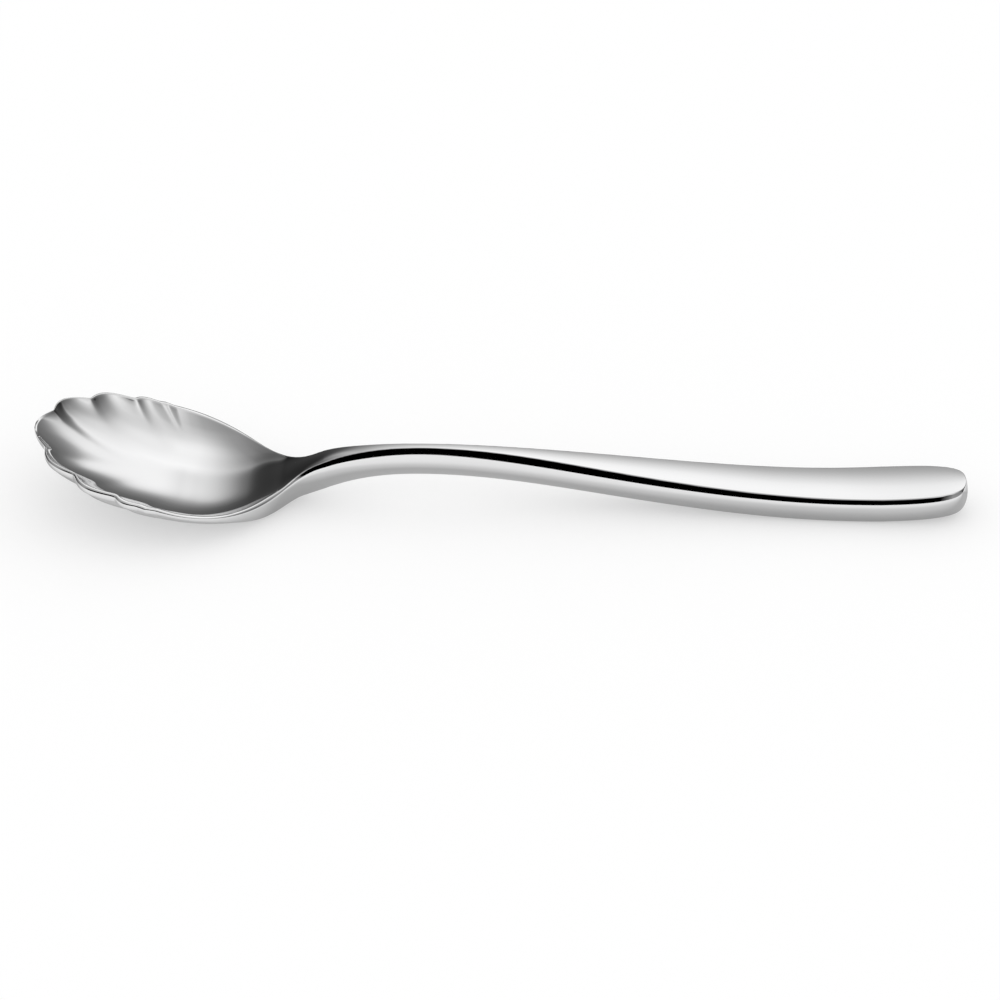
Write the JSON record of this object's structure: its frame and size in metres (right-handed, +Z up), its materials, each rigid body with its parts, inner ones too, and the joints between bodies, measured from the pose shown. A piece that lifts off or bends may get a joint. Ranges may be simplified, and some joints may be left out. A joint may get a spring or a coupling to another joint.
{
  "type": "sugar spoon",
  "caption": "Polished steel sugar spoon with a shell-fluted bowl, a narrow arched neck and a flat-topped handle that widens to a rounded end.",
  "frame": {"origin": "on the surface that the spoon rests on, under the middle of its length and width", "axes": "+X along the spoon from the bowl's tip to the handle's end, +Y across it, +Z up out of the bowl"},
  "size_m": [0.145, 0.0316, 0.0126],
  "materials": {
    "polished_steel": "mirror polish"
  },
  "bodies": {
    "root": {"spoon": "polished_steel"}
  },
  "joints": []
}
